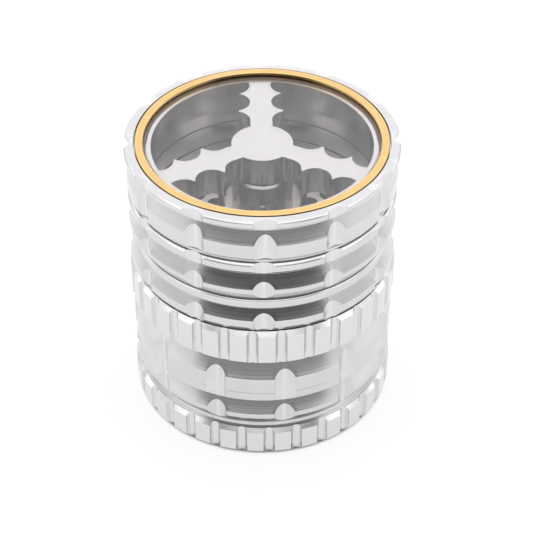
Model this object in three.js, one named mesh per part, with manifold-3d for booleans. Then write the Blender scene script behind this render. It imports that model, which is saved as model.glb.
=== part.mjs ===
// A round five-section metal herb grinder with a windowed lid.
// Millimetres, +Z up, origin at the centre of the bottom face.
// The sections stack on the Z axis: catcher cup, screen ring, collector, grinding chamber, lid.

import * as THREE from 'three';
import { mergeVertices } from 'three/addons/utils/BufferGeometryUtils.js';
import Module from 'manifold-3d';

const wasm = await Module();
wasm.setup();

// ---------------------------------------------------------------- driving dimensions

const gripRadius = 31.5; // knurled rings and lid rim, the widest parts
const ridgeRadius = gripRadius - 0.35; // fluted ridges between the grooves
const clearance = 0.3; // between any two pieces that meet
const roundFacets = 36; // facets around a turned surface

// Heights of the joints between sections, measured from the base.
const baseGripTop = 7.7;
const cupTop = 19.5;
const screenRingTop = 27.9;
const collectorGripBottom = 28.65;
const collectorGripTop = 38.2;
const collectorTop = 46.7;
const chamberTop = 57.9;
const lidBottom = 59;
const lidTop = 69.6;

// Plain cylinders that stand for the screw threads.
const spigotRadius = 27.7;
const boreRadius = spigotRadius + clearance;
const spigotLength = 3.8;

// Vertical scallops around every smooth band.
const fluteCount = 12;
const fluteDepth = 1.45;
const fluteHalfWidth = 2.9;
const fluteCutterRadius = (fluteHalfWidth ** 2 + fluteDepth ** 2) / (2 * fluteDepth);
const fluteCentre = gripRadius - fluteDepth + fluteCutterRadius;
const fluteFacets = 12;

// Vertical channels around the two knurled grip rings.
const channelCount = 30;
const channelCutterRadius = 1.38;
const channelCentre = gripRadius + 0.28;
const channelFacets = 6;

// How far each section is turned about Z, in degrees.
const lidTurn = 1.4;
const chamberTurn = 0.7;
const lowerTurn = 9.75;
const collectorGripTurn = 2;
const baseGripTurn = 8.95;

// ---------------------------------------------------------------- materials

function metal(colour, roughness) {
  return new THREE.MeshStandardMaterial({ color: colour, roughness, metalness: 1 });
}

function plastic(colour, roughness) {
  return new THREE.MeshStandardMaterial({ color: colour, roughness, metalness: 0 });
}

const aluminium = () => metal(0xd6d6d8, 0.28);
const satinAluminium = () => metal(0xdadadc, 0.4);
const gold = () => metal(0xe0a848, 0.25);
const steel = () => metal(0xa8a9ad, 0.35);
const whiteNylon = () => plastic(0xf0f0ee, 0.5);
const darkRubber = () => plastic(0x2a2422, 0.6);
const clearAcrylic = () => plastic(0xe8f0f0, 0.05);

// ---------------------------------------------------------------- solids

function solid(geometry) {
  geometry.deleteAttribute('normal');
  geometry.deleteAttribute('uv');
  const merged = mergeVertices(geometry, 1e-4);
  const mesh = new wasm.Mesh({
    numProp: 3,
    vertProperties: new Float32Array(merged.attributes.position.array),
    triVerts: new Uint32Array(merged.index.array),
  });
  return new wasm.Manifold(mesh);
}

function piece(name, body, material, turnDegrees = 0) {
  const mesh = body.getMesh();
  const geometry = new THREE.BufferGeometry();
  geometry.setAttribute('position', new THREE.BufferAttribute(mesh.vertProperties, 3));
  geometry.setIndex(new THREE.BufferAttribute(mesh.triVerts, 1));
  geometry.computeVertexNormals();
  const node = new THREE.Mesh(geometry, material);
  node.name = name;
  node.rotation.z = THREE.MathUtils.degToRad(turnDegrees);
  return node;
}

// Revolve a profile of [radius, height] pairs, listed anticlockwise, about Z.
function turned(profile, facets = roundFacets) {
  const points = profile.map(([radius, height]) => new THREE.Vector2(radius, height));
  const startsOnAxis = points[0].x === 0;
  if (!startsOnAxis) {
    points.push(points[0].clone());
  }
  return solid(new THREE.LatheGeometry(points, facets).rotateX(Math.PI / 2));
}

function flatRing(innerRadius, outerRadius, bottom, top) {
  return turned([
    [innerRadius, bottom],
    [outerRadius, bottom],
    [outerRadius, top],
    [innerRadius, top],
  ]);
}

function disc(radius, bottom, top, facets) {
  const height = top - bottom;
  const cylinder = new THREE.CylinderGeometry(radius, radius, height, facets);
  cylinder.rotateX(Math.PI / 2);
  cylinder.translate(0, 0, (top + bottom) / 2);
  return solid(cylinder);
}

// Copies of a solid spaced evenly around Z. The first copy sits at the front, -Y.
function aroundZ(body, count, startDegrees = 0) {
  const copies = [];
  for (let i = 0; i < count; i += 1) {
    copies.push(body.rotate([0, 0, startDegrees + (360 * i) / count]));
  }
  return wasm.Manifold.union(copies);
}

function verticalCutters(radius, centreRadius, count, facets, bottom, top, startDegrees = 0) {
  const overshoot = 1;
  const cutter = disc(radius, bottom - overshoot, top + overshoot, facets);
  return aroundZ(cutter.translate([0, -centreRadius, 0]), count, startDegrees);
}

function fluted(body, bottom, top) {
  const cutters = verticalCutters(
    fluteCutterRadius, fluteCentre, fluteCount, fluteFacets, bottom, top,
  );
  return body.subtract(cutters);
}

// The point where a groove's lower cone meets its 45 degree upper face.
// The cone rises from [ridge, coneFoot] by coneSlope mm for each mm inwards;
// the upper face falls 1 mm for each mm inwards from [lip, lipHeight].
function grooveBottom(ridge, coneFoot, coneSlope, lip, lipHeight) {
  const radius = (coneFoot + coneSlope * ridge - lipHeight + lip) / (1 + coneSlope);
  return [radius, lipHeight - lip + radius];
}

// ---------------------------------------------------------------- grip rings

const gripSleeveInner = 29.6;
const sleeveSeat = gripSleeveInner - clearance; // radius of the body inside a grip ring
const gripChamfer = 0.9;
const gripFootChamfer = 0.9;

function gripRing(bottom, top) {
  const ring = turned([
    [gripSleeveInner, bottom],
    [gripRadius - gripFootChamfer, bottom],
    [gripRadius, bottom + gripFootChamfer],
    [gripRadius, top - gripChamfer],
    [gripRadius - gripChamfer, top],
    [gripSleeveInner, top],
  ], channelCount * 2);
  const halfPitch = 180 / channelCount;
  const channels = verticalCutters(
    channelCutterRadius, channelCentre, channelCount, channelFacets, bottom, top, halfPitch,
  );
  return ring.subtract(channels);
}

// ---------------------------------------------------------------- catcher cup

const sectionWall = 27; // inside radius of the catcher cup
const lowerConeSlope = 1.7; // steep cone under each ridge
const cupFloor = 2.5;
const cupBowlRadius = 4;
const washerRecess = 1; // depth of the washer recess in a section's top face

function bowlCorner(innerRadius, floor, radius, steps) {
  const points = [];
  for (let i = 0; i <= steps; i += 1) {
    const angle = (Math.PI / 2) * (i / steps);
    points.push([
      innerRadius - radius + radius * Math.cos(angle),
      floor + radius - radius * Math.sin(angle),
    ]);
  }
  return points;
}

function catcherCup() {
  const ridgeBottom = 11.4;
  const ridgeTop = 12.7;
  const rimBottom = 17.4;
  const recessRadius = 29.6;
  const recessFloor = cupTop - washerRecess;
  const boreFloor = cupTop - spigotLength - 0.1;
  const body = turned([
    [0, 0],
    [sleeveSeat - 0.4, 0],
    [sleeveSeat, 0.4],
    [sleeveSeat, ridgeBottom - lowerConeSlope * (ridgeRadius - sleeveSeat)],
    [ridgeRadius, ridgeBottom],
    [ridgeRadius, ridgeTop],
    grooveBottom(ridgeRadius, ridgeTop, 1.963, ridgeRadius, rimBottom),
    [ridgeRadius, rimBottom],
    [ridgeRadius, cupTop - 0.4],
    [ridgeRadius - 0.4, cupTop],
    [recessRadius, cupTop],
    [recessRadius, recessFloor],
    [boreRadius, recessFloor],
    [boreRadius, boreFloor],
    [sectionWall, boreFloor],
    ...bowlCorner(sectionWall, cupFloor, cupBowlRadius, 3),
    [0, cupFloor],
  ]);
  return fluted(body, baseGripTop + clearance, cupTop);
}

// ---------------------------------------------------------------- screen ring

const tubeInner = 25.4; // bore through the spigots
const screenRingShoulder = cupTop + clearance;
const screenLedge = 22.9;
const screenThickness = 0.4;
const screenBottom = screenLedge + clearance;
const clipBottom = screenBottom + screenThickness + clearance;
const clipTop = clipBottom + 0.7;
const spigotLeadIn = 0.4;

function screenRing() {
  const ridgeTop = 23.8;
  const coneSlope = 2;
  const spigotBottom = screenRingShoulder - spigotLength;
  const body = turned([
    [tubeInner, spigotBottom],
    [spigotRadius - spigotLeadIn, spigotBottom],
    [spigotRadius, spigotBottom + spigotLeadIn],
    [spigotRadius, screenRingShoulder],
    [ridgeRadius - 0.4, screenRingShoulder],
    [ridgeRadius, screenRingShoulder + 0.4],
    [ridgeRadius, ridgeTop],
    [ridgeRadius - (screenRingTop - ridgeTop) / coneSlope, screenRingTop],
    [boreRadius, screenRingTop],
    [boreRadius, screenLedge],
    [tubeInner, screenLedge],
  ]);
  return fluted(body, screenRingShoulder, screenRingTop);
}

function meshScreen() {
  const radius = boreRadius - 0.4;
  return turned([
    [0, screenBottom],
    [radius, screenBottom],
    [radius, screenBottom + screenThickness],
    [0, screenBottom + screenThickness],
  ]);
}

// A snap ring: a flat ring with a gap at the back.
function screenClip() {
  const ring = flatRing(tubeInner + 0.5, boreRadius - clearance, clipBottom, clipTop);
  const gapWidth = 5;
  const gap = new THREE.BoxGeometry(gapWidth, 6, 4);
  gap.translate(0, boreRadius - 1, clipBottom);
  return ring.subtract(solid(gap));
}

// ---------------------------------------------------------------- collector

const collectorShoulder = collectorGripBottom + clearance;
const collectorInner = 25.8;

function collectorBody() {
  const sleeveStop = collectorGripTop + clearance;
  const ridgeBottom = 39.8;
  const ridgeTop = 41.7;
  const rimRadius = 29.9;
  const rimBottom = 44.67;
  const recessRadius = 29;
  const spigotBottom = collectorShoulder - spigotLength;
  const body = turned([
    [collectorInner, spigotBottom],
    [spigotRadius - spigotLeadIn, spigotBottom],
    [spigotRadius, spigotBottom + spigotLeadIn],
    [spigotRadius, collectorShoulder],
    [sleeveSeat, collectorShoulder],
    [sleeveSeat, sleeveStop],
    [ridgeRadius - (ridgeBottom - sleeveStop) / lowerConeSlope, sleeveStop],
    [ridgeRadius, ridgeBottom],
    [ridgeRadius, ridgeTop],
    grooveBottom(ridgeRadius, ridgeTop, 1.376, rimRadius, rimBottom),
    [rimRadius, rimBottom],
    [rimRadius, collectorTop - 0.2],
    [rimRadius - 0.2, collectorTop],
    [recessRadius, collectorTop],
    [recessRadius, collectorTop - washerRecess],
    [boreRadius, collectorTop - washerRecess],
    [boreRadius, collectorTop - spigotLength],
    [collectorInner, collectorTop - spigotLength],
  ]);
  return fluted(body, collectorGripTop + 0.5, collectorTop);
}

// ---------------------------------------------------------------- grinding chamber

const chamberShoulder = collectorTop + clearance;
const chamberInner = 26.6;
const plateLedge = 48.3;
const plateBottom = plateLedge + clearance;
const plateTop = 51;
const plateRadius = chamberInner - clearance;
const lidSpigotRadius = 28.2;
const lidSpigotLength = 2.4;

function chamberShell() {
  const ridgeBottom = 49.6;
  const ridgeTop = 50.8;
  const rimBottom = 55.9;
  const rimChamfer = 0.5;
  const ledgeInner = 24.6;
  const spigotBottom = chamberShoulder - spigotLength + 0.4;
  const counterboreRadius = lidSpigotRadius + 0.4;
  const counterboreFloor = lidBottom - lidSpigotLength - 0.4;
  const body = turned([
    [ledgeInner, spigotBottom],
    [spigotRadius - spigotLeadIn, spigotBottom],
    [spigotRadius, spigotBottom + spigotLeadIn],
    [spigotRadius, chamberShoulder],
    [ridgeRadius - (ridgeBottom - chamberShoulder) / lowerConeSlope, chamberShoulder],
    [ridgeRadius, ridgeBottom],
    [ridgeRadius, ridgeTop],
    grooveBottom(ridgeRadius, ridgeTop, 1.376, ridgeRadius, rimBottom),
    [ridgeRadius, rimBottom],
    [ridgeRadius, chamberTop - rimChamfer],
    [ridgeRadius - rimChamfer, chamberTop],
    [counterboreRadius, chamberTop],
    [counterboreRadius, counterboreFloor],
    [chamberInner, counterboreFloor],
    [chamberInner, plateLedge],
    [ledgeInner, plateLedge],
  ]);
  return fluted(body, chamberShoulder, chamberTop);
}

// Teeth stand on two circles, with drop holes between them and on a third circle outside.
const toothRows = [
  { radius: 11, count: 6 },
  { radius: 15.5, count: 9 },
];
const dropHoleRows = [...toothRows, { radius: 21.5, count: 12 }];
const postRadius = 7;
const toothTop = 58.2;
const postTop = 60.4;
const dropHoleRadius = 1.8;
const dropHoleFacets = 6;
const magnetRadius = 4;
const magnetHeight = 2.4;
const magnetFacets = 18;

// A tapered tooth with a diamond section, longer along the circle it stands on.
function tooth(circleRadius) {
  const rootSink = 0.5;
  const height = toothTop - plateTop + rootSink;
  const pin = new THREE.CylinderGeometry(0.5, 1.6, height, 4);
  pin.rotateX(Math.PI / 2);
  pin.scale(1.5, 1, 1);
  pin.translate(0, -circleRadius, toothTop - height / 2);
  return solid(pin);
}

function grindingPlate() {
  const postBevel = 0.6;
  const pocketRadius = magnetRadius + clearance;
  const pocketFloor = postTop - magnetHeight - 2 * clearance;
  let plate = turned([
    [0, plateBottom],
    [plateRadius, plateBottom],
    [plateRadius, plateTop],
    [postRadius, plateTop],
    [postRadius, postTop - postBevel],
    [postRadius - postBevel, postTop],
    [pocketRadius, postTop],
    [pocketRadius, pocketFloor],
    [0, pocketFloor],
  ]);
  for (const { radius, count } of dropHoleRows) {
    const halfPitch = 180 / count;
    const hole = disc(dropHoleRadius, plateBottom - 1, plateTop + 1, dropHoleFacets);
    plate = plate.subtract(aroundZ(hole.translate([0, -radius, 0]), count, halfPitch));
  }
  for (const { radius, count } of toothRows) {
    plate = plate.add(aroundZ(tooth(radius), count));
  }
  return plate;
}

function magnet(bottom) {
  const chamfer = 0.2;
  return turned([
    [0, bottom],
    [magnetRadius - chamfer, bottom],
    [magnetRadius, bottom + chamfer],
    [magnetRadius, bottom + magnetHeight - chamfer],
    [magnetRadius - chamfer, bottom + magnetHeight],
    [0, bottom + magnetHeight],
  ], magnetFacets);
}

// ---------------------------------------------------------------- lid

const wheelBottom = 61.2;
const wheelTop = 67.9;
const wheelRimTop = 67.2;
const wheelRimBottom = 66.2;
const wheelOpeningRadius = 25.3;
const wheelLedgeRadius = 26.2; // the flat top ends here and steps down to the rim
const wheelSkirtRadius = 26.3;
const wheelRimRadius = 27.9;
const bezelOuter = 28.9;
const bezelInner = 27;
const bezelTop = 69.8;
const paneRadius = 27.6;
const paneBottom = wheelTop + clearance;
const paneTop = paneBottom + 0.8;

function lidRing() {
  const ridgeTop = 63.06;
  const rimBottom = 68.2;
  const rimChamfer = 0.4;
  const bezelSeat = 68;
  const wheelSeatRadius = wheelRimRadius + clearance;
  const wheelLedge = wheelRimBottom - clearance;
  const body = turned([
    [chamberInner, lidBottom - lidSpigotLength],
    [lidSpigotRadius, lidBottom - lidSpigotLength],
    [lidSpigotRadius, lidBottom],
    [ridgeRadius - 0.55, lidBottom],
    [ridgeRadius, lidBottom + 0.55],
    [ridgeRadius, ridgeTop],
    grooveBottom(ridgeRadius, ridgeTop, 2.246, gripRadius, rimBottom),
    [gripRadius, rimBottom],
    [gripRadius, lidTop - rimChamfer],
    [gripRadius - rimChamfer, lidTop],
    [bezelOuter + clearance, lidTop],
    [bezelOuter + clearance, bezelSeat],
    [wheelSeatRadius, bezelSeat],
    [wheelSeatRadius, wheelLedge],
    [chamberInner, wheelLedge],
  ]);
  return fluted(body, lidBottom, lidTop);
}

// Gold ring with an outer foot beside the pane and a lip over the pane's edge.
function windowBezel() {
  const lipBottom = paneTop + 0.25;
  const footInner = paneRadius + clearance;
  const footBottom = 68.3;
  const bevel = 0.2;
  return turned([
    [footInner, footBottom],
    [bezelOuter, footBottom],
    [bezelOuter, bezelTop - bevel],
    [bezelOuter - bevel, bezelTop],
    [bezelInner + bevel, bezelTop],
    [bezelInner, bezelTop - bevel],
    [bezelInner, lipBottom],
    [footInner, lipBottom],
  ]);
}

function windowPane() {
  const bevel = 0.15;
  return turned([
    [0, paneBottom],
    [paneRadius - bevel, paneBottom],
    [paneRadius, paneBottom + bevel],
    [paneRadius, paneTop - bevel],
    [paneRadius - bevel, paneTop],
    [0, paneTop],
  ]);
}

// Three scalloped arms join the hub to the rim of the blade wheel.
const armCount = 3;
const hubRadius = 7;
const armHalfWidth = 5.2; // out to the cusps between scallops
const scallopRadius = 3.65;
const scallopOffset = 6.15; // scallop centres, sideways from the arm's centre line
const scallopsAlongArm = [7.3, 9.1, 16.7, 23.7]; // the first two run together beside the hub
const scallopFacets = 16;

function wheelOpenings() {
  const tipRadius = armHalfWidth / Math.sin(Math.PI / armCount);
  const reach = 40;
  const halfAngle = Math.PI / armCount;
  const wedge = new THREE.Shape([
    new THREE.Vector2(0, -tipRadius),
    new THREE.Vector2(-reach * Math.sin(halfAngle), -tipRadius - reach * Math.cos(halfAngle)),
    new THREE.Vector2(reach * Math.sin(halfAngle), -tipRadius - reach * Math.cos(halfAngle)),
  ]);
  const depth = wheelTop - wheelBottom + 2;
  const prism = new THREE.ExtrudeGeometry(wedge, { depth, bevelEnabled: false });
  prism.translate(0, 0, wheelBottom - 1);
  let openings = aroundZ(solid(prism), armCount);
  for (const along of scallopsAlongArm) {
    for (const side of [-1, 1]) {
      const scallop = disc(scallopRadius, wheelBottom - 1, wheelTop + 1, scallopFacets);
      const placed = scallop.translate([side * scallopOffset, -along, 0]);
      openings = openings.add(aroundZ(placed, armCount, 180 / armCount));
    }
  }
  const reachLimit = disc(wheelOpeningRadius, wheelBottom - 1, wheelTop + 1, roundFacets);
  const hub = disc(hubRadius, wheelBottom - 2, wheelTop + 2, roundFacets);
  return openings.intersect(reachLimit).subtract(hub);
}

function bladeWheel() {
  const blank = turned([
    [0, wheelBottom],
    [wheelSkirtRadius, wheelBottom],
    [wheelSkirtRadius, wheelRimBottom],
    [wheelRimRadius, wheelRimBottom],
    [wheelRimRadius, wheelRimTop],
    [wheelLedgeRadius, wheelRimTop],
    [wheelLedgeRadius, wheelTop],
    [0, wheelTop],
  ]);
  const pocketTop = wheelBottom + magnetHeight + 2 * clearance;
  const magnetPocket = disc(magnetRadius + clearance, wheelBottom - 1, pocketTop, magnetFacets);
  return blank.subtract(wheelOpenings()).subtract(magnetPocket);
}

// ---------------------------------------------------------------- assembly

const grinder = new THREE.Group();
grinder.name = 'herb_grinder';

const catcher = new THREE.Group();
catcher.add(
  piece('catcher_cup', catcherCup(), aluminium(), lowerTurn),
  piece('base_grip_ring', gripRing(0, baseGripTop), satinAluminium(), baseGripTurn),
  piece('screen_washer', flatRing(28, 29.3, 18.8, cupTop), whiteNylon()),
);

const screen = new THREE.Group();
screen.add(
  piece('screen_ring', screenRing(), aluminium(), lowerTurn),
  piece('mesh_screen', meshScreen(), steel()),
  piece('screen_clip', screenClip(), steel(), lowerTurn),
);

const collector = new THREE.Group();
collector.add(
  piece('collector_washer', flatRing(28, 29, 28.2, 28.65), whiteNylon()),
  piece('collector_body', collectorBody(), aluminium(), chamberTurn),
  piece(
    'collector_grip_ring',
    gripRing(collectorGripBottom, collectorGripTop),
    satinAluminium(),
    collectorGripTurn,
  ),
);

const chamber = new THREE.Group();
chamber.add(
  piece('chamber_washer', flatRing(28, 28.7, 46, 46.6), whiteNylon()),
  piece('chamber_shell', chamberShell(), aluminium(), chamberTurn),
  piece('grinding_plate', grindingPlate(), aluminium(), chamberTurn),
  piece('chamber_magnet', magnet(postTop - clearance - magnetHeight), steel()),
);

const lid = new THREE.Group();
lid.add(
  piece('lid_slip_ring', flatRing(28.6, 30.3, 58.2, 58.7), whiteNylon()),
  piece('lid_ring', lidRing(), aluminium(), lidTurn),
  piece('blade_wheel', bladeWheel(), satinAluminium(), lidTurn),
  piece('lid_magnet', magnet(wheelBottom + clearance), steel()),
  piece('window_gasket', flatRing(26.5, 27.5, 67.5, wheelTop), darkRubber()),
  piece('window_pane', windowPane(), clearAcrylic()),
  piece('window_bezel', windowBezel(), gold()),
);

grinder.add(catcher, screen, collector, chamber, lid);

export default grinder;
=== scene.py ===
"""The looks of a round five-section herb grinder with a windowed lid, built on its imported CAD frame.

The sections stack on the Z axis. Each visible piece is a finely turned copy of its CAD node.
"""

import math

import bmesh
import bpy
from mathutils import Matrix, Vector


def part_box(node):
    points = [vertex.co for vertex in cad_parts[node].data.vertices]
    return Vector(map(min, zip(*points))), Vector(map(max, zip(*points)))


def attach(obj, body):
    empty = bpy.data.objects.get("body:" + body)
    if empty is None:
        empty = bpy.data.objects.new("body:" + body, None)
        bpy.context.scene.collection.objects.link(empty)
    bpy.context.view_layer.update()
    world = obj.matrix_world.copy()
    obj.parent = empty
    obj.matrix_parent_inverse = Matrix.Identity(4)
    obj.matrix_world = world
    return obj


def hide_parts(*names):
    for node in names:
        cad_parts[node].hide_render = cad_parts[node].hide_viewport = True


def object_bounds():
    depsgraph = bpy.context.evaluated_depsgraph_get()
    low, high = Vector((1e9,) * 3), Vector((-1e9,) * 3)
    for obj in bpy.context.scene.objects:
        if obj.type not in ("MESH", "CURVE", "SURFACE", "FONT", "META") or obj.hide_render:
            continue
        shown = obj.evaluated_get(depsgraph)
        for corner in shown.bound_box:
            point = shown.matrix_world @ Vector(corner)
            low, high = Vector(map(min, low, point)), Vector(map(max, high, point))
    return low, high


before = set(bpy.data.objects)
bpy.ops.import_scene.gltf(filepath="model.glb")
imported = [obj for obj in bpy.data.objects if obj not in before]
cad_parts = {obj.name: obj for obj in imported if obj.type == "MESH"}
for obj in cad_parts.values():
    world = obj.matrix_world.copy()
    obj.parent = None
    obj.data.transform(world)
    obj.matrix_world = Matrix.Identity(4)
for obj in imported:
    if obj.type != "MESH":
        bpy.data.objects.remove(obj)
cad_low, cad_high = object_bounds()

# ------------------------------------------------------------------ sizes, from the frame

DESIGN_HEIGHT = 69.8  # the grinder's height in the units of the sizes below
MM = cad_high.z / DESIGN_HEIGHT


def bottom_of(node):
    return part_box(node)[0].z / MM


def top_of(node):
    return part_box(node)[1].z / MM


GRIP_RADIUS = cad_high.x / MM  # knurled rings and lid rim, the widest parts
RIDGE_RADIUS = GRIP_RADIUS - 0.35
SPIGOT_RADIUS = 27.7
BORE_RADIUS = SPIGOT_RADIUS + 0.3
SLEEVE_RADIUS = 29.6  # inside of the grip rings
SEAT_RADIUS = SLEEVE_RADIUS - 0.02  # outside of the bodies under the grip rings

BASE_GRIP_TOP = top_of("base_grip_ring")
CUP_TOP = top_of("catcher_cup")
SCREEN_RING_BOTTOM = bottom_of("screen_ring")
SCREEN_RING_TOP = top_of("screen_ring")
COLLECTOR_GRIP_BOTTOM = bottom_of("collector_grip_ring")
COLLECTOR_GRIP_TOP = top_of("collector_grip_ring")
COLLECTOR_BOTTOM = bottom_of("collector_body")
COLLECTOR_TOP = top_of("collector_body")
CHAMBER_BOTTOM = bottom_of("chamber_shell")
CHAMBER_TOP = top_of("chamber_shell")
PLATE_BOTTOM = bottom_of("grinding_plate")
POST_TOP = top_of("grinding_plate")
LID_BOTTOM = bottom_of("lid_ring")
LID_TOP = top_of("lid_ring")
WHEEL_BOTTOM = bottom_of("blade_wheel")
WHEEL_TOP = top_of("blade_wheel")
PANE_BOTTOM = bottom_of("window_pane")
PANE_TOP = top_of("window_pane")
BEZEL_TOP = top_of("window_bezel")

# How far each section is turned about Z, in degrees.
LID_TURN = 1.4
CHAMBER_TURN = 0.7
LOWER_TURN = 9.75
COLLECTOR_GRIP_TURN = 2
BASE_GRIP_TURN = 8.95

FLUTE_COUNT = 12
FLUTE_DEPTH = 1.45
FLUTE_HALF_WIDTH = 2.9
CHANNEL_COUNT = 30
CHANNEL_RADIUS = 1.38
CHANNEL_CENTRE = GRIP_RADIUS + 0.28

FACETS = 240  # around a turned surface
EDGE = 0.04  # rounding of turned edges
CONE_SLOPE = 1.7  # rise over run of the cones below the ridges

# ------------------------------------------------------------------ mesh helpers


def new_object(name, mesh):
    made = bpy.data.objects.new(name, mesh)
    bpy.context.scene.collection.objects.link(made)
    return made


def mesh_object(name, vertices, faces):
    mesh = bpy.data.meshes.new(name)
    mesh.from_pydata([Vector(v) * MM for v in vertices], [], faces)
    shape = bmesh.new()
    shape.from_mesh(mesh)
    bmesh.ops.recalc_face_normals(shape, faces=shape.faces)
    shape.to_mesh(mesh)
    shape.free()
    return new_object(name, mesh)


def eased(profile, size=EDGE):
    """The profile with each corner rounded by about `size`. Points on the axis or a straight run stay."""
    points = [Vector(p) for p in profile]
    out = []
    for i, here in enumerate(points):
        before = points[i - 1] - here
        after = points[(i + 1) % len(points)] - here
        straight = before.angle(after) > math.radians(175)
        if here.x == 0 or straight:
            out.append(here)
            continue
        arrive = here + before.normalized() * min(size, before.length * 0.4)
        leave = here + after.normalized() * min(size, after.length * 0.4)
        out += [arrive, (arrive + here * 2 + leave) / 4, leave]
    return out


def revolve(name, profile, facets=FACETS):
    """A solid of revolution about Z from (radius, height) points, closed or ending on the axis."""
    on_axis = profile[0][0] == 0
    vertices = []
    rows = []
    for radius, height in profile:
        if radius == 0:
            rows.append([len(vertices)] * facets)
            vertices.append((0, 0, height))
            continue
        rows.append(list(range(len(vertices), len(vertices) + facets)))
        for i in range(facets):
            angle = 2 * math.pi * i / facets
            vertices.append((radius * math.cos(angle), radius * math.sin(angle), height))
    faces = []
    last = len(rows) - 1 if on_axis else len(rows)
    for j in range(last):
        lower = rows[j]
        upper = rows[(j + 1) % len(rows)]
        for i in range(facets):
            k = (i + 1) % facets
            corners = [lower[i], lower[k], upper[k], upper[i]]
            faces.append(list(dict.fromkeys(corners)))
    return mesh_object(name, vertices, faces)


def prism(name, outline, bottom, top):
    """A vertical prism from (x, y) points."""
    count = len(outline)
    vertices = [(x, y, bottom) for x, y in outline] + [(x, y, top) for x, y in outline]
    faces = [list(range(count)), list(range(count, 2 * count))]
    for i in range(count):
        k = (i + 1) % count
        faces.append([i, k, count + k, count + i])
    return mesh_object(name, vertices, faces)


def circle(centre_x, centre_y, radius, count=96):
    points = []
    for i in range(count):
        angle = 2 * math.pi * i / count
        points.append((centre_x + radius * math.cos(angle), centre_y + radius * math.sin(angle)))
    return points


def turn(made, degrees):
    made.data.transform(Matrix.Rotation(math.radians(degrees), 4, "Z"))
    return made


def joined(objects, name):
    """One object from several that don't touch each other."""
    shape = bmesh.new()
    for part in objects:
        shape.from_mesh(part.data)
        bpy.data.objects.remove(part)
    mesh = bpy.data.meshes.new(name)
    shape.to_mesh(mesh)
    shape.free()
    return new_object(name, mesh)


def around(make_one, count, start=0):
    """Copies spaced evenly around Z. The first sits at the front, -Y, turned by `start` degrees."""
    copies = [turn(make_one(), start + 360 * i / count) for i in range(count)]
    return joined(copies, "copies")


def combine(body, tool, operation):
    modifier = body.modifiers.new("combine", "BOOLEAN")
    modifier.operation = operation
    modifier.solver = "EXACT"
    modifier.object = tool
    bpy.context.view_layer.update()
    evaluated = body.evaluated_get(bpy.context.evaluated_depsgraph_get())
    mesh = bpy.data.meshes.new_from_object(evaluated)
    body.modifiers.clear()
    body.data = mesh
    bpy.data.objects.remove(tool)
    return body


def cut(body, tool):
    return combine(body, tool, "DIFFERENCE")


def smooth(body, angle=12):
    for face in body.data.polygons:
        face.use_smooth = True
    body.data.set_sharp_from_angle(angle=math.radians(angle))
    return body


def flute_cutters(bottom, top):
    radius = (FLUTE_HALF_WIDTH**2 + FLUTE_DEPTH**2) / (2 * FLUTE_DEPTH)
    centre = GRIP_RADIUS - FLUTE_DEPTH + radius

    def one():
        return prism("flute", circle(0, -centre, radius), bottom - 1, top + 1)

    return around(one, FLUTE_COUNT)


def groove_bottom(ridge, cone_foot, cone_slope, lip, lip_height):
    """Where a groove's lower cone meets its 45 degree upper face."""
    radius = (cone_foot + cone_slope * ridge - lip_height + lip) / (1 + cone_slope)
    return radius, lip_height - lip + radius


def place(made, node, body, material):
    made.data.materials.clear()
    made.data.materials.append(material)
    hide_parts(node)
    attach(made, body)
    return made


# ------------------------------------------------------------------ materials


class Nodes:
    """A short way to write a node material."""

    def __init__(self, name):
        self.material = bpy.data.materials.new(name)
        self.material.use_nodes = True
        self.tree = self.material.node_tree
        self.shader = self.tree.nodes["Principled BSDF"]

    def add(self, kind, **inputs):
        node = self.tree.nodes.new(kind)
        for key, value in inputs.items():
            self.set(node, key.replace("_", " "), value)
        return node

    def set(self, node, key, value):
        if isinstance(value, bpy.types.NodeSocket):
            self.tree.links.new(value, node.inputs[key])
        else:
            node.inputs[key].default_value = value

    def maths(self, operation, first, second=0.0):
        node = self.tree.nodes.new("ShaderNodeMath")
        node.operation = operation
        for socket, value in zip(node.inputs, (first, second)):
            if isinstance(value, bpy.types.NodeSocket):
                self.tree.links.new(value, socket)
            else:
                socket.default_value = value
        return node.outputs[0]

    def ranged(self, value, low, high, to_low, to_high):
        node = self.add(
            "ShaderNodeMapRange",
            Value=value,
            From_Min=low,
            From_Max=high,
            To_Min=to_low,
            To_Max=to_high,
        )
        return node.outputs["Result"]

    def noise(self, vector, scale, detail=2.0):
        return self.add("ShaderNodeTexNoise", Vector=vector, Scale=scale, Detail=detail).outputs["Fac"]

    def mixed(self, factor, first, second):
        node = self.tree.nodes.new("ShaderNodeMix")
        node.data_type = "RGBA"
        self.tree.links.new(factor, node.inputs[0])
        node.inputs[6].default_value = (*first, 1)
        node.inputs[7].default_value = (*second, 1)
        return node.outputs[2]

    def turned_position(self):
        """Position as (radius, 0, height), so that a texture on it makes rings about Z."""
        place_in = self.tree.nodes.new("ShaderNodeTexCoord").outputs["Object"]
        split = self.add("ShaderNodeSeparateXYZ", Vector=place_in)
        x, y, z = split.outputs
        squares = self.maths("ADD", self.maths("MULTIPLY", x, x), self.maths("MULTIPLY", y, y))
        radius = self.maths("SQRT", squares)
        return self.add("ShaderNodeCombineXYZ", X=radius, Z=z).outputs[0]

    def painted_edge_highlight(self):
        # Painted highlight: a mask that lightens the colour along sharp edges.
        pointiness = self.tree.nodes.new("ShaderNodeNewGeometry").outputs["Pointiness"]
        return self.ranged(pointiness, 0.5, 0.58, 0.0, 1.0)

    def bump(self, height, strength, distance):
        node = self.add("ShaderNodeBump", Height=height, Strength=strength, Distance=distance)
        self.tree.links.new(node.outputs[0], self.shader.inputs["Normal"])


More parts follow.
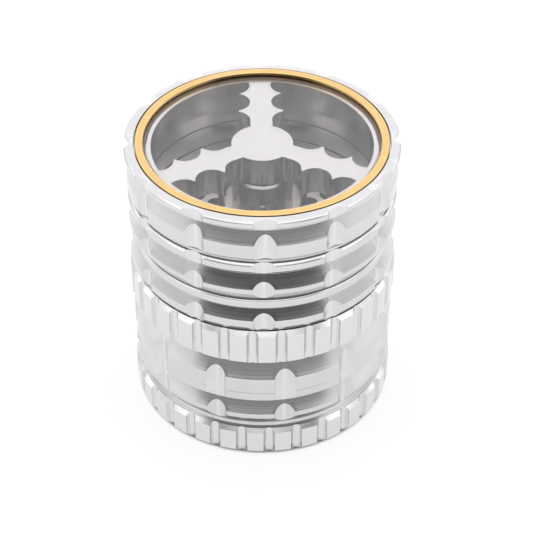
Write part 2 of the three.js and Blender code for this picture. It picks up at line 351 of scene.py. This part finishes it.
def turned_metal(name, dark, light, smooth_to, rough_to, line_scale=4500, line_depth=0.35):
    """Lathe-turned metal: fine rings about Z, with a highlight painted along its edges."""
    nodes = Nodes(name)
    rings = nodes.noise(nodes.turned_position(), line_scale, 3)
    cloud = nodes.noise(nodes.tree.nodes.new("ShaderNodeTexCoord").outputs["Object"], 120)
    shade = nodes.maths("ADD", nodes.maths("MULTIPLY", rings, 0.6), nodes.maths("MULTIPLY", cloud, 0.4))
    # Grain and tone, lightened along sharp edges as a painted highlight.
    grain_and_edge_highlight = nodes.maths("MAXIMUM", shade, nodes.painted_edge_highlight())
    colour = nodes.mixed(nodes.ranged(grain_and_edge_highlight, 0.3, 0.75, 0.0, 1.0), dark, light)
    nodes.set(nodes.shader, "Base Color", colour)
    nodes.set(nodes.shader, "Roughness", nodes.ranged(rings, 0.3, 0.7, smooth_to, rough_to))
    nodes.set(nodes.shader, "Metallic", 1.0)
    nodes.bump(rings, line_depth, 0.00002)
    return nodes.material


def milled_metal(name, dark, light, smooth_to, rough_to):
    """Satin metal with an even fine grain, with a highlight painted along its edges."""
    nodes = Nodes(name)
    place_in = nodes.tree.nodes.new("ShaderNodeTexCoord").outputs["Object"]
    grain = nodes.noise(place_in, 4000, 4)
    cloud = nodes.noise(place_in, 90)
    shade = nodes.maths("ADD", nodes.maths("MULTIPLY", grain, 0.5), nodes.maths("MULTIPLY", cloud, 0.5))
    # Grain and tone, lightened along sharp edges as a painted highlight.
    grain_and_edge_highlight = nodes.maths("MAXIMUM", shade, nodes.painted_edge_highlight())
    colour = nodes.mixed(nodes.ranged(grain_and_edge_highlight, 0.3, 0.75, 0.0, 1.0), dark, light)
    nodes.set(nodes.shader, "Base Color", colour)
    nodes.set(nodes.shader, "Roughness", nodes.ranged(grain, 0.3, 0.7, smooth_to, rough_to))
    nodes.set(nodes.shader, "Metallic", 1.0)
    nodes.bump(grain, 0.2, 0.00002)
    return nodes.material


def soft_plastic(name, dark, light):
    nodes = Nodes(name)
    place_in = nodes.tree.nodes.new("ShaderNodeTexCoord").outputs["Object"]
    grain = nodes.noise(place_in, 1500, 3)
    nodes.set(nodes.shader, "Base Color", nodes.mixed(grain, dark, light))
    nodes.set(nodes.shader, "Roughness", nodes.ranged(grain, 0.3, 0.7, 0.4, 0.6))
    nodes.bump(grain, 0.15, 0.00002)
    return nodes.material


def clear_window(name):
    nodes = Nodes(name)
    place_in = nodes.tree.nodes.new("ShaderNodeTexCoord").outputs["Object"]
    haze = nodes.noise(place_in, 300, 3)
    nodes.set(nodes.shader, "Base Color", nodes.mixed(haze, (0.95, 0.94, 0.94), (0.99, 0.98, 0.98)))
    nodes.set(nodes.shader, "Roughness", nodes.ranged(haze, 0.3, 0.7, 0.0, 0.02))
    nodes.set(nodes.shader, "IOR", 1.49)
    nodes.set(nodes.shader, "Transmission Weight", 1.0)
    return nodes.material


ALUMINIUM = turned_metal("turned_aluminium", (0.61, 0.6, 0.61), (0.72, 0.71, 0.72), 0.14, 0.26)
SATIN = milled_metal("satin_aluminium", (0.6, 0.59, 0.6), (0.72, 0.71, 0.72), 0.16, 0.24)
WHEEL = milled_metal("wheel_aluminium", (0.6, 0.59, 0.6), (0.7, 0.69, 0.7), 0.16, 0.24)
# Painted shade: darker than the outer aluminium, standing for the dimmer light inside the chamber.
PLATE_METAL_WITH_PAINTED_SHADE = milled_metal("plate_aluminium_painted_shade", (0.5, 0.48, 0.47), (0.62, 0.6, 0.59), 0.25, 0.35)
GOLD = turned_metal("gold_anodised", (0.7, 0.46, 0.18), (0.82, 0.58, 0.28), 0.2, 0.3)
STEEL = turned_metal("spring_steel", (0.45, 0.45, 0.47), (0.6, 0.6, 0.62), 0.25, 0.4)
WIRE = milled_metal("steel_wire", (0.5, 0.5, 0.52), (0.7, 0.7, 0.72), 0.25, 0.35)
PLATING = milled_metal("magnet_plating", (0.6, 0.6, 0.6), (0.75, 0.74, 0.72), 0.15, 0.25)
NYLON = soft_plastic("white_nylon", (0.78, 0.78, 0.76), (0.92, 0.92, 0.9))
# The gasket's dark brown stands for the shade under the bezel's lip and the gold bezel's reflection:
# painted shade and a painted reflection.
GASKET_SHADE_AND_REFLECTION = soft_plastic("dark_rubber", (0.16, 0.08, 0.03), (0.24, 0.12, 0.05))
WINDOW = clear_window("clear_window")

# ------------------------------------------------------------------ threads

THREAD_LEAD = 2.0
THREAD_STARTS = 2
THREAD_DEPTH = 0.22
THREAD_RUN_IN = 0.45  # plain wall below the thread
THREAD_RUN_OUT = 0.3  # plain wall above it


def threaded(body, bottom, top):
    """Ripple a spigot's wall between two heights into a two-start right-hand screw thread."""
    for vertex in body.data.vertices:
        x, y, z = vertex.co / MM
        radius = math.hypot(x, y)
        if abs(radius - SPIGOT_RADIUS) > 0.02 or not bottom < z < top:
            continue
        turns = math.atan2(y, x) / (2 * math.pi)
        phase = (THREAD_STARTS * (z / THREAD_LEAD - turns)) % 1
        crest = 1 - abs(2 * phase - 1)
        scale = (radius - THREAD_DEPTH * (1 - crest)) / radius
        vertex.co.x *= scale
        vertex.co.y *= scale
    return body


def spigot(inner, bottom, top):
    """The foot of a section: its bore's lower edge, a lead-in chamfer and a wall fine enough to thread."""
    lead_in = 0.4
    wall_bottom = bottom + lead_in
    count = round((top - wall_bottom) / 0.1)
    wall = [(SPIGOT_RADIUS, wall_bottom + (top - wall_bottom) * i / count) for i in range(count + 1)]
    return [(inner, bottom), (SPIGOT_RADIUS - lead_in, bottom)] + wall


# ------------------------------------------------------------------ grip rings


def grip_ring(name, bottom, top, degrees):
    chamfer = 0.9
    ring = revolve(
        name,
        [
            (SLEEVE_RADIUS, bottom),
            (GRIP_RADIUS - chamfer, bottom),
            (GRIP_RADIUS, bottom + chamfer),
            (GRIP_RADIUS, top - chamfer),
            (GRIP_RADIUS - chamfer, top),
            (SLEEVE_RADIUS, top),
        ],
    )

    def channel():
        return prism("channel", circle(0, -CHANNEL_CENTRE, CHANNEL_RADIUS, 48), bottom - 1, top + 1)

    cut(ring, around(channel, CHANNEL_COUNT, 180 / CHANNEL_COUNT))
    return smooth(turn(ring, degrees))


# ------------------------------------------------------------------ section bodies


def bowl_corner(inner, floor, radius, steps=12):
    points = []
    for i in range(steps + 1):
        angle = math.pi / 2 * i / steps
        points.append((
            inner - radius + radius * math.cos(angle),
            floor + radius - radius * math.sin(angle),
        ))
    return points


def catcher_cup():
    ridge_bottom = 11.4
    ridge_top = 12.7
    rim_bottom = 17.4
    recess_radius = 29.6
    inner = 27
    floor = 2.5
    outside = [
        (0, 0),
        (SEAT_RADIUS - 0.4, 0),
        (SEAT_RADIUS, 0.4),
        (SEAT_RADIUS, ridge_bottom - CONE_SLOPE * (RIDGE_RADIUS - SEAT_RADIUS)),
        (RIDGE_RADIUS, ridge_bottom),
        (RIDGE_RADIUS, ridge_top),
        groove_bottom(RIDGE_RADIUS, ridge_top, 1.963, RIDGE_RADIUS, rim_bottom),
        (RIDGE_RADIUS, rim_bottom),
        (RIDGE_RADIUS, CUP_TOP - 0.05),
        (RIDGE_RADIUS - 0.05, CUP_TOP),
    ]
    inside = [
        (recess_radius, CUP_TOP),
        (recess_radius, CUP_TOP - 1),
        (BORE_RADIUS, CUP_TOP - 1),
        (BORE_RADIUS, CUP_TOP - 3.9),
        (inner, CUP_TOP - 3.9),
    ]
    profile = eased(outside + inside + bowl_corner(inner, floor, 4) + [(0, floor)])
    cup = revolve("cup_body", profile)
    cut(cup, flute_cutters(BASE_GRIP_TOP + 0.3, CUP_TOP))
    return smooth(turn(cup, LOWER_TURN))


def screen_ring():
    shoulder = CUP_TOP + 0.02
    ridge_top = 23.8
    ledge = 22.9
    inner = 25.4
    profile = spigot(inner, SCREEN_RING_BOTTOM, shoulder) + [
        (28.3, shoulder + 0.3),
        (29.4, shoulder + 0.3),
        (29.6, shoulder),
        (RIDGE_RADIUS - 0.05, shoulder),
        (RIDGE_RADIUS, shoulder + 0.05),
        (RIDGE_RADIUS, ridge_top),
        (RIDGE_RADIUS - (SCREEN_RING_TOP - ridge_top) / 2, SCREEN_RING_TOP),
        (BORE_RADIUS, SCREEN_RING_TOP),
        (BORE_RADIUS, ledge),
        (inner, ledge),
    ]
    ring = revolve("screen_ring_body", eased(profile))
    cut(ring, flute_cutters(shoulder, SCREEN_RING_TOP))
    threaded(ring, SCREEN_RING_BOTTOM + THREAD_RUN_IN, shoulder - THREAD_RUN_OUT)
    return smooth(turn(ring, LOWER_TURN))


def collector_body():
    shoulder = COLLECTOR_GRIP_BOTTOM + 0.3
    sleeve_stop = COLLECTOR_GRIP_TOP + 0.15
    ridge_bottom = 39.8
    ridge_top = 41.7
    rim_radius = 29.9
    rim_bottom = 44.67
    inner = 25.8
    profile = spigot(inner, COLLECTOR_BOTTOM, shoulder) + [
        (SEAT_RADIUS, shoulder),
        (SEAT_RADIUS, sleeve_stop),
        (RIDGE_RADIUS - (ridge_bottom - sleeve_stop) / CONE_SLOPE, sleeve_stop),
        (RIDGE_RADIUS, ridge_bottom),
        (RIDGE_RADIUS, ridge_top),
        groove_bottom(RIDGE_RADIUS, ridge_top, 1.376, rim_radius, rim_bottom),
        (rim_radius, rim_bottom),
        (rim_radius, COLLECTOR_TOP - 0.2),
        (rim_radius - 0.2, COLLECTOR_TOP),
        (29, COLLECTOR_TOP),
        (29, COLLECTOR_TOP - 1),
        (BORE_RADIUS, COLLECTOR_TOP - 1),
        (BORE_RADIUS, COLLECTOR_TOP - 3.8),
        (inner, COLLECTOR_TOP - 3.8),
    ]
    body = revolve("collector_wall", eased(profile))
    cut(body, flute_cutters(sleeve_stop, COLLECTOR_TOP))
    threaded(body, COLLECTOR_BOTTOM + THREAD_RUN_IN, shoulder - THREAD_RUN_OUT)
    return smooth(turn(body, CHAMBER_TURN))


def chamber_shell():
    shoulder = COLLECTOR_TOP + 0.08
    ridge_bottom = 49.6
    ridge_top = 50.8
    rim_bottom = 55.9
    inner = 26.6
    plate_ledge = PLATE_BOTTOM - 0.3
    profile = spigot(24.6, CHAMBER_BOTTOM, shoulder) + [
        (RIDGE_RADIUS - (ridge_bottom - shoulder) / CONE_SLOPE, shoulder),
        (RIDGE_RADIUS, ridge_bottom),
        (RIDGE_RADIUS, ridge_top),
        groove_bottom(RIDGE_RADIUS, ridge_top, 1.376, RIDGE_RADIUS, rim_bottom),
        (RIDGE_RADIUS, rim_bottom),
        (RIDGE_RADIUS, CHAMBER_TOP - 0.5),
        (RIDGE_RADIUS - 0.5, CHAMBER_TOP),
        (28.6, CHAMBER_TOP),
        (28.6, CHAMBER_TOP - 1.7),
        (inner, CHAMBER_TOP - 1.7),
        (inner, plate_ledge),
        (24.6, plate_ledge),
    ]
    shell = revolve("chamber_wall", eased(profile))
    cut(shell, flute_cutters(shoulder, CHAMBER_TOP))
    threaded(shell, CHAMBER_BOTTOM + THREAD_RUN_IN, shoulder - THREAD_RUN_OUT)
    return smooth(turn(shell, CHAMBER_TURN))


def lid_ring():
    lid_foot = CHAMBER_TOP + 1.1
    ridge_top = 63.06
    rim_bottom = 68.2
    inner = 26.6
    wheel_seat = 28.2
    bezel_seat = 29.2
    bezel_ledge = 68
    wheel_ledge = 65.9
    profile = eased([
        (inner, LID_BOTTOM),
        (28.2, LID_BOTTOM),
        (28.2, lid_foot),
        (RIDGE_RADIUS - 0.55, lid_foot),
        (RIDGE_RADIUS, lid_foot + 0.55),
        (RIDGE_RADIUS, ridge_top),
        groove_bottom(RIDGE_RADIUS, ridge_top, 2.246, GRIP_RADIUS, rim_bottom),
        (GRIP_RADIUS, rim_bottom),
        (GRIP_RADIUS, LID_TOP - 0.4),
        (GRIP_RADIUS - 0.4, LID_TOP),
        (bezel_seat, LID_TOP),
        (bezel_seat, bezel_ledge),
        (wheel_seat, bezel_ledge),
        (wheel_seat, wheel_ledge),
        (inner, wheel_ledge),
    ])
    ring = revolve("lid_shell", profile)
    cut(ring, flute_cutters(lid_foot, LID_TOP))
    return smooth(turn(ring, LID_TURN))


# ------------------------------------------------------------------ blade wheel

ARM_COUNT = 3
ARM_HALF_WIDTH = 5.2  # out to the cusps between scallops
HUB_RADIUS = 7
OPENING_RADIUS = 25.3
LEDGE_RADIUS = 26.2  # outside of the raised middle that the gasket rests on
SCALLOP_RADIUS = 3.65
SCALLOP_OFFSET = 6.15  # scallop centres, sideways from the arm's centre line
SCALLOPS_ALONG_ARM = [7.3, 9.1, 16.7, 23.7]  # the first two run together beside the hub
MAGNET_RADIUS = 4
MAGNET_POCKET_RADIUS = MAGNET_RADIUS + 0.3


def wheel_opening():
    """The opening between two arms, centred on -Y, as a cutter."""
    bottom, top = WHEEL_BOTTOM - 1, WHEEL_TOP + 1
    half_angle = math.radians(180 / ARM_COUNT)
    tip = ARM_HALF_WIDTH / math.sin(half_angle)
    reach = 40
    left = (-reach * math.sin(half_angle), -tip - reach * math.cos(half_angle))
    right = (-left[0], left[1])
    opening = prism("opening", [(0, -tip), left, right], bottom, top)
    for along in SCALLOPS_ALONG_ARM:
        for side in (-1, 1):
            scallop = prism("scallop", circle(-side * SCALLOP_OFFSET, -along, SCALLOP_RADIUS), bottom, top)
            combine(opening, turn(scallop, side * 180 / ARM_COUNT), "UNION")
    rim = prism("rim", circle(0, 0, OPENING_RADIUS, FACETS), bottom + 0.5, top - 0.5)
    combine(opening, rim, "INTERSECT")
    return cut(opening, prism("hub", circle(0, 0, HUB_RADIUS, 120), bottom - 1, top + 1))


def blade_wheel():
    rim_top = 67.2
    rim_bottom = 66.2
    skirt_radius = 26.3
    rim_radius = 27.9
    pocket_top = WHEEL_BOTTOM + 3
    profile = [
        (0, pocket_top),
        (MAGNET_POCKET_RADIUS, pocket_top),
        (MAGNET_POCKET_RADIUS, WHEEL_BOTTOM),
        (skirt_radius, WHEEL_BOTTOM),
        (skirt_radius, rim_bottom),
        (rim_radius, rim_bottom),
        (rim_radius, rim_top),
        (LEDGE_RADIUS, rim_top),
        (LEDGE_RADIUS, WHEEL_TOP),
        (0, WHEEL_TOP),
    ]
    wheel = revolve("wheel_of_blades", profile)
    cut(wheel, around(wheel_opening, ARM_COUNT))
    return smooth(turn(wheel, LID_TURN))


# ------------------------------------------------------------------ grinding plate

PLATE_TOP = 51
PLATE_RADIUS = 26.3
POST_RADIUS = 7
TOOTH_ROWS = [(11, 6), (15.5, 9)]  # circle radius, teeth on it
DROP_HOLE_ROWS = TOOTH_ROWS + [(21.5, 12)]
TOOTH_TOP = 58.2
DROP_HOLE_RADIUS = 1.8


def tooth(row_radius):
    """A tapered tooth with a diamond section and softened edges."""
    length, width = 2.4, 1.6
    tip = 0.32
    root = PLATE_TOP - 0.4
    outline = [(length, 0), (0, width), (-length, 0), (0, -width)]
    vertices = [(x, y - row_radius, root) for x, y in outline]
    vertices += [(x * tip, y * tip - row_radius, TOOTH_TOP) for x, y in outline]
    faces = [[3, 2, 1, 0], [4, 5, 6, 7]]
    for i in range(4):
        k = (i + 1) % 4
        faces.append([i, k, 4 + k, 4 + i])
    made = mesh_object("tooth", vertices, faces)
    shape = bmesh.new()
    shape.from_mesh(made.data)
    bmesh.ops.bevel(
        shape,
        geom=list(shape.edges),
        offset=0.12 * MM,
        segments=2,
        affect="EDGES",
        profile=0.5,
    )
    shape.to_mesh(made.data)
    shape.free()
    return made


def grinding_plate():
    pocket = MAGNET_POCKET_RADIUS
    pocket_floor = POST_TOP - 3
    plate = revolve(
        "toothed_plate",
        eased([
            (0, PLATE_BOTTOM),
            (PLATE_RADIUS, PLATE_BOTTOM),
            (PLATE_RADIUS, PLATE_TOP),
            (POST_RADIUS, PLATE_TOP),
            (POST_RADIUS, POST_TOP - 0.6),
            (POST_RADIUS - 0.6, POST_TOP),
            (pocket, POST_TOP),
            (pocket, pocket_floor),
            (0, pocket_floor),
        ]),
    )
    for radius, count in DROP_HOLE_ROWS:

        def hole(at=radius):
            return prism("hole", circle(0, -at, DROP_HOLE_RADIUS, 32), PLATE_BOTTOM - 1, PLATE_TOP + 1)

        cut(plate, around(hole, count, 180 / count))
    for radius, count in TOOTH_ROWS:
        combine(plate, around(lambda at=radius: tooth(at), count), "UNION")
    return smooth(turn(plate, CHAMBER_TURN))


def magnet(name, node):
    bottom, top = bottom_of(node), top_of(node)
    profile = eased([(0, bottom), (MAGNET_RADIUS, bottom), (MAGNET_RADIUS, top), (0, top)], 0.35)
    return smooth(revolve(name, profile, 96))


# ------------------------------------------------------------------ sieve, washers, window

WIRE_SPACING = 1.2
WIRE_RADIUS = 0.12


def woven_mesh():
    """A round of plain-woven wire held in a flat hoop."""
    bottom, top = bottom_of("mesh_screen"), top_of("mesh_screen")
    middle = (bottom + top) / 2
    radius = BORE_RADIUS - 0.4
    hoop_width = 0.9
    reach = radius - hoop_width / 2
    count = int(reach / WIRE_SPACING)
    vertices = []
    faces = []
    for direction in (0, 1):
        for i in range(-count, count + 1):
            offset = i * WIRE_SPACING
            half = math.sqrt(reach**2 - offset**2)
            steps = int(half / WIRE_SPACING)
            stops = [-half] + [k * WIRE_SPACING for k in range(-steps, steps + 1)] + [half]
            start = len(vertices)
            for j, stop in enumerate(stops):
                over = 1 if (j + i + direction) % 2 else -1
                height = middle + over * WIRE_RADIUS * 0.6
                for dy, dz in ((-1, 0), (0, -1), (1, 0), (0, 1)):
                    side = offset + dy * WIRE_RADIUS
                    lift = height + dz * WIRE_RADIUS
                    vertices.append((stop, side, lift) if direction == 0 else (side, stop, lift))
            for j in range(len(stops) - 1):
                for k in range(4):
                    low = start + 4 * j
                    m = (k + 1) % 4
                    faces.append([low + k, low + m, low + 4 + m, low + 4 + k])
            end = start + 4 * (len(stops) - 1)
            faces += [[start + 3, start + 2, start + 1, start], [end, end + 1, end + 2, end + 3]]
    wires = mesh_object("wires", vertices, faces)
    hoop = revolve(
        "hoop",
        eased([(radius - hoop_width, bottom), (radius, bottom), (radius, top), (radius - hoop_width, top)]),
        120,
    )
    return smooth(joined([wires, hoop], "woven_screen"))


def snap_ring():
    bottom, top = bottom_of("screen_clip"), top_of("screen_clip")
    inner, outer = 25.9, BORE_RADIUS - 0.3
    ring = revolve(
        "snap_ring",
        eased([(inner, bottom), (outer, bottom), (outer, top), (inner, top)], 0.15),
    )
    gap = [(-2.5, 24), (2.5, 24), (2.5, 30), (-2.5, 30)]
    cut(ring, prism("gap", gap, bottom - 1, top + 1))
    return smooth(turn(ring, LOWER_TURN))


def washer(name, node, inner, outer):
    bottom, top = bottom_of(node), top_of(node)
    profile = [(inner, bottom), (outer, bottom), (outer, top), (inner, top)]
    return smooth(revolve(name, eased(profile, 0.1)))


def window_bezel():
    foot_inner = 27.9
    foot_bottom = 68.3
    outer, inner = 28.9, 27
    return smooth(revolve(
        "bezel_ring",
        eased([
            (foot_inner, foot_bottom),
            (outer, foot_bottom),
            (outer, BEZEL_TOP - 0.2),
            (outer - 0.2, BEZEL_TOP),
            (inner + 0.2, BEZEL_TOP),
            (inner, BEZEL_TOP - 0.2),
            (inner, PANE_TOP + 0.05),
            (foot_inner, PANE_TOP + 0.05),
        ], 0.08),
    ))


def window_pane():
    radius = 27.6
    profile = eased([(0, PANE_BOTTOM), (radius, PANE_BOTTOM), (radius, PANE_TOP), (0, PANE_TOP)], 0.2)
    return smooth(revolve("pane_disc", profile))


# ------------------------------------------------------------------ assembly

place(catcher_cup(), "catcher_cup", "cup_section", ALUMINIUM)
place(
    grip_ring("base_knurl", 0, BASE_GRIP_TOP, BASE_GRIP_TURN),
    "base_grip_ring", "cup_section", SATIN,
)
place(
    washer("cup_joint_washer", "screen_washer", 28, 29.3),
    "screen_washer", "screen_washer_carrier", NYLON,
)
place(screen_ring(), "screen_ring", "screen_section", ALUMINIUM)
place(woven_mesh(), "mesh_screen", "screen_section", WIRE)
place(snap_ring(), "screen_clip", "screen_section", STEEL)
place(
    washer("screen_joint_washer", "collector_washer", 28, 29),
    "collector_washer", "collector_washer_carrier", NYLON,
)
place(collector_body(), "collector_body", "collector_section", ALUMINIUM)
place(
    grip_ring("collector_knurl", COLLECTOR_GRIP_BOTTOM, COLLECTOR_GRIP_TOP, COLLECTOR_GRIP_TURN),
    "collector_grip_ring", "collector_section", SATIN,
)
place(
    washer("chamber_joint_washer", "chamber_washer", 28, 28.7),
    "chamber_washer", "chamber_washer_carrier", NYLON,
)
place(chamber_shell(), "chamber_shell", "chamber_section", ALUMINIUM)
# The plate's darker metal is painted shade inside the chamber.
place(grinding_plate(), "grinding_plate", "chamber_section", PLATE_METAL_WITH_PAINTED_SHADE)
place(
    magnet("post_magnet", "chamber_magnet"),
    "chamber_magnet", "chamber_section", PLATING,
)
place(
    washer("slip_ring", "lid_slip_ring", 28.6, 30.3),
    "lid_slip_ring", "lid_slip_carrier", NYLON,
)
place(lid_ring(), "lid_ring", "lid_section", ALUMINIUM)
place(blade_wheel(), "blade_wheel", "lid_section", WHEEL)
place(magnet("hub_magnet", "lid_magnet"), "lid_magnet", "lid_section", PLATING)
# Dark brown gasket: painted shade and a painted gold reflection under the bezel's lip.
place(
    washer("pane_gasket", "window_gasket", 26.5, 27.5),
    "window_gasket", "lid_section", GASKET_SHADE_AND_REFLECTION,
)
place(window_pane(), "window_pane", "lid_section", WINDOW)
place(window_bezel(), "window_bezel", "lid_section", GOLD)

# ------------------------------------------------------------------ floor, light and camera

# Radii in metres, between which the painted contact shadow round the foot fades out.
FLOOR_PAINTED_SHADOW_EDGE = (0.0303, 0.0313)
FLOOR_GLOW_AND_PAINTED_SHADE = (0.75, 0.82)  # glow near the grinder and far from it; the dimmer glow near it is painted shade
FLOOR_GLOW_REACH = (0.045, 0.12)  # radii in metres where the glow changes from one to the other
STUDIO_LEVEL = 1.6
FRONT_FADE = (48, 59)  # degrees from the front where the darker wall gives way to the sides
BACK_FADE = (92, 104)  # and where the sides give way to the brighter back

# Brightness up the studio's walls, as (sine of the elevation, level).
BACK_LEVELS = [
    (-0.02, 0.64), (0.04, 0.55), (0.12, 0.5), (0.22, 0.95),
    (0.36, 0.95), (0.48, 0.8), (0.7, 0.8), (1, 0.9),
]
SIDE_LEVELS = [(-0.02, 0.64), (0.04, 0.55), (0.3, 0.47), (0.42, 0.5), (0.52, 0.95), (0.7, 1)]
FRONT_LEVELS = [
    (-0.02, 0.62), (0.03, 0.16), (0.16, 0.16), (0.26, 0.26),
    (0.42, 0.06), (0.66, 0.06), (0.74, 1),
]


def floor():
    """A pale table that glows a little, dimmer near the grinder as painted shade, with a painted contact
    shadow round the foot.
    """
    half = 0.4
    corners = [(-half, -half, 0), (half, -half, 0), (half, half, 0), (-half, half, 0)]
    mesh = bpy.data.meshes.new("floor")
    mesh.from_pydata(corners, [], [(0, 1, 2, 3)])
    made = new_object("floor", mesh)
    made.location.z = -0.0002
    nodes = Nodes("pale_floor")
    nodes.set(nodes.shader, "Base Color", (0.25, 0.25, 0.25, 1))
    nodes.set(nodes.shader, "Roughness", 0.8)
    nodes.set(nodes.shader, "Specular IOR Level", 0.1)
    nodes.set(nodes.shader, "Emission Color", (1, 1, 1, 1))
    place_on = nodes.tree.nodes.new("ShaderNodeTexCoord").outputs["Object"]
    distance = nodes.add("ShaderNodeVectorMath", Vector=place_on)
    distance.operation = "LENGTH"
    reach = distance.outputs["Value"]
    # Painted contact shadow: the floor's glow falls to nothing inside these radii round the foot.
    shade = nodes.ranged(reach, *FLOOR_PAINTED_SHADOW_EDGE, 0.0, 1.0)
    # Painted shade: the glow is dimmer near the grinder than far from it.
    glow_with_painted_shade = nodes.ranged(reach, *FLOOR_GLOW_REACH, *FLOOR_GLOW_AND_PAINTED_SHADE)
    nodes.set(nodes.shader, "Emission Strength", nodes.maths("MULTIPLY", shade, glow_with_painted_shade))
    made.data.materials.append(nodes.material)


def studio_world():
    """A bright round studio whose front wall is darker, where the photographer stands."""
    world = bpy.data.worlds.new("studio")
    bpy.context.scene.world = world
    world.use_nodes = True
    tree = world.node_tree
    background = tree.nodes["Background"]

    def maths(operation, *values):
        node = tree.nodes.new("ShaderNodeMath")
        node.operation = operation
        for socket, value in zip(node.inputs, values):
            if isinstance(value, bpy.types.NodeSocket):
                tree.links.new(value, socket)
            else:
                socket.default_value = value
        return node.outputs[0]

    def ramp(value, stops):
        node = tree.nodes.new("ShaderNodeValToRGB")
        tree.links.new(value, node.inputs[0])
        while len(node.color_ramp.elements) < len(stops):
            node.color_ramp.elements.new(0.5)
        for element, (position, level) in zip(node.color_ramp.elements, stops):
            element.position = position
            element.color = (level, level, level, 1)
        return node.outputs[0]

    direction = tree.nodes.new("ShaderNodeTexCoord").outputs["Generated"]
    split = tree.nodes.new("ShaderNodeSeparateXYZ")
    tree.links.new(direction, split.inputs[0])
    x, y, z = split.outputs
    height = maths("MULTIPLY_ADD", z, 0.5, 0.5)
    across = maths("SQRT", maths("ADD", maths("MULTIPLY", x, x), maths("MULTIPLY", y, y)))
    facing = maths("DIVIDE", maths("MULTIPLY", y, -1), maths("MAXIMUM", across, 0.001))

    def toward_front(fade, behind, before):
        """The level `before` up to the first angle of `fade`, and `behind` past the second."""
        part = tree.nodes.new("ShaderNodeMapRange")
        part.interpolation_type = "SMOOTHSTEP"
        part.inputs["From Min"].default_value = math.cos(math.radians(fade[1]))
        part.inputs["From Max"].default_value = math.cos(math.radians(fade[0]))
        tree.links.new(facing, part.inputs["Value"])
        mix = tree.nodes.new("ShaderNodeMix")
        mix.data_type = "RGBA"
        tree.links.new(part.outputs["Result"], mix.inputs[0])
        tree.links.new(behind, mix.inputs[6])
        tree.links.new(before, mix.inputs[7])
        return mix.outputs[2]

    def wall(levels):
        return ramp(height, [(0.5 + h / 2, level) for h, level in levels])

    rear = toward_front(BACK_FADE, wall(BACK_LEVELS), wall(SIDE_LEVELS))
    tree.links.new(toward_front(FRONT_FADE, rear, wall(FRONT_LEVELS)), background.inputs["Color"])
    background.inputs["Strength"].default_value = STUDIO_LEVEL


def camera():
    image_width = 533  # distance and aim below are in metres
    focal_pixels = 1599.2
    distance = 0.38559
    elevation = math.radians(39.487)
    aim = Vector((0.00097, 0, 0.03197))
    lens = bpy.data.cameras.new("camera")
    lens.sensor_width = 36
    lens.lens = focal_pixels / image_width * lens.sensor_width
    made = bpy.data.objects.new("camera", lens)
    back = Vector((0, -math.cos(elevation), math.sin(elevation)))
    made.location = aim + back * distance
    made.rotation_euler = (-back).to_track_quat("-Z", "Y").to_euler()
    bpy.context.scene.collection.objects.link(made)
    bpy.context.scene.camera = made


floor()
studio_world()
camera()
bpy.context.scene.view_settings.view_transform = "Standard"
